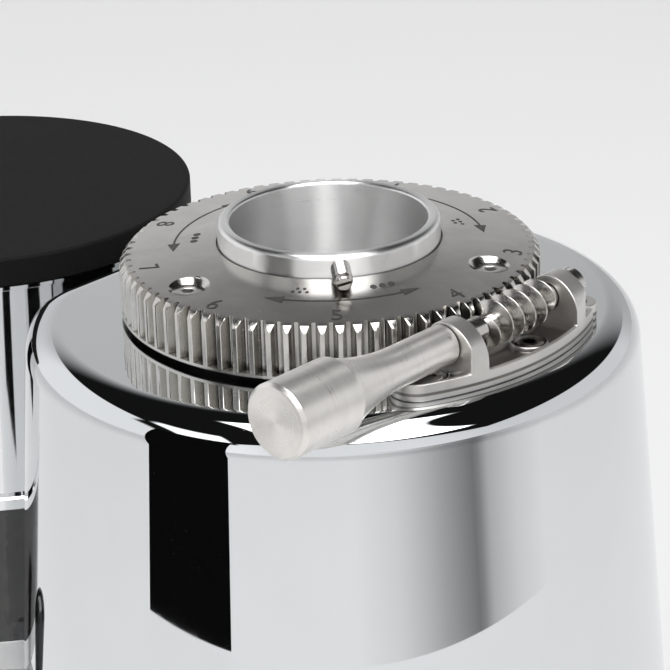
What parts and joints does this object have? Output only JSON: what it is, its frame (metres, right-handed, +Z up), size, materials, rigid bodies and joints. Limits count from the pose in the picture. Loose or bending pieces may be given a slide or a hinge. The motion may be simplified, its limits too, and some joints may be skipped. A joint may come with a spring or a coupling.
{
  "type": "burr coffee grinder",
  "caption": "Upright burr coffee grinder with a worm-driven toothed grind dial round its throat, a lever doser in front and a portafilter fork.",
  "frame": {"origin": "centre of the whole grinder's footprint box, on the table", "axes": "+Z up, -Y towards the doser, +X towards the adjusting knob"},
  "size_m": [0.205, 0.3166, 0.2883],
  "materials": {
    "mirror_chrome": "mirror-polished plating",
    "dial_steel": "satin polished",
    "collar_aluminium": "brushed",
    "turned_steel": "turned and polished",
    "bracket_nickel": "satin nickel casting",
    "screw_steel": "plain",
    "doser_steel": "polished",
    "smoked_plastic": "smoked clear",
    "black_plastic": "matte",
    "grip_plastic": "gloss",
    "cast_aluminium": "cast",
    "fork_steel": "polished",
    "burr_steel": "hardened",
    "plate_steel": "plain sheet",
    "lamination_steel": "laminated",
    "copper_winding": "varnished copper",
    "rubber": "matte"
  },
  "bodies": {
    "frame": {"body_housing": "mirror_chrome", "base_plate": "plate_steel", "rubber_feet": "rubber", "cord_gland": "rubber", "switch_bezel": "black_plastic", "worm_bracket": "bracket_nickel", "bracket_screws": "screw_steel", "grinding_chamber": "cast_aluminium", "discharge_chute": "plate_steel", "motor_casing": "cast_aluminium", "motor_stator": "lamination_steel", "motor_windings": "copper_winding", "upper_bearing": "burr_steel", "lower_bearing": "burr_steel", "motor_end_shield": "cast_aluminium", "run_capacitor": "cast_aluminium", "doser_collar": "doser_steel", "doser_ledge": "doser_steel", "doser_chamber": "smoked_plastic", "doser_base": "cast_aluminium", "outlet_spout": "cast_aluminium", "doser_saddle": "cast_aluminium", "portafilter_fork": "fork_steel", "fork_screws": "screw_steel"},
    "dial": {"ring_gear": "dial_steel", "dial_screws": "screw_steel", "throat_collar": "collar_aluminium", "hopper_stud": "turned_steel", "upper_carrier": "cast_aluminium", "upper_burr": "burr_steel", "upper_burr_screws": "screw_steel"},
    "worm": {"worm_shaft": "turned_steel", "adjuster_knob": "turned_steel", "worm_end_nut": "turned_steel"},
    "rotor": {"motor_shaft": "turned_steel", "motor_rotor": "lamination_steel", "lower_carrier": "cast_aluminium", "lower_burr": "burr_steel", "lower_burr_screws": "screw_steel", "carrier_nut": "screw_steel", "cooling_fan": "black_plastic"},
    "lever": {"doser_lever": "fork_steel", "lever_grip": "grip_plastic"},
    "star": {"star_wheel": "black_plastic", "star_axle": "turned_steel"},
    "lid": {"doser_lid": "black_plastic"},
    "rocker": {"switch_rocker": "black_plastic"}
  },
  "joints": [
    {"name": "dial_turn", "type": "hinge", "parent": "frame", "child": "dial", "pos_m": [0, 0.05578, 0.27], "axis": [0, 0, 1], "range_deg": [-160, 160]},
    {"name": "worm_turn", "type": "hinge", "parent": "frame", "child": "worm", "pos_m": [0, 0.11753, 0.2733], "axis": [1, 0, 0], "range_deg": [-12160, 12160]},
    {"name": "rotor_spin", "type": "hinge", "parent": "frame", "child": "rotor", "pos_m": [0, 0.05578, 0.15], "axis": [0, 0, 1], "continuous": true},
    {"name": "lever_pull", "type": "hinge", "parent": "frame", "child": "lever", "pos_m": [0, -0.09168, 0.124], "axis": [0, 0, -1], "range_deg": [0, 60], "stiffness_Nm_per_rad": 0.15, "springref_deg": -22.92},
    {"name": "star_turn", "type": "hinge", "parent": "frame", "child": "star", "pos_m": [0, -0.09168, 0.159], "axis": [0, 0, -1], "range_deg": [0, 60]},
    {"name": "lid_lift", "type": "slide", "parent": "frame", "child": "lid", "axis": [0, 0, 1], "range_m": [0, 0.06]},
    {"name": "switch_rock", "type": "hinge", "parent": "frame", "child": "rocker", "pos_m": [-0.094, 0.05578, 0.06166], "axis": [0, 1, 0], "range_deg": [-8, 8]}
  ],
  "couplings": [
    {"joint": "worm_turn", "follows": "dial_turn", "ratio": 76},
    {"joint": "star_turn", "follows": "lever_pull", "ratio": 1}
  ]
}
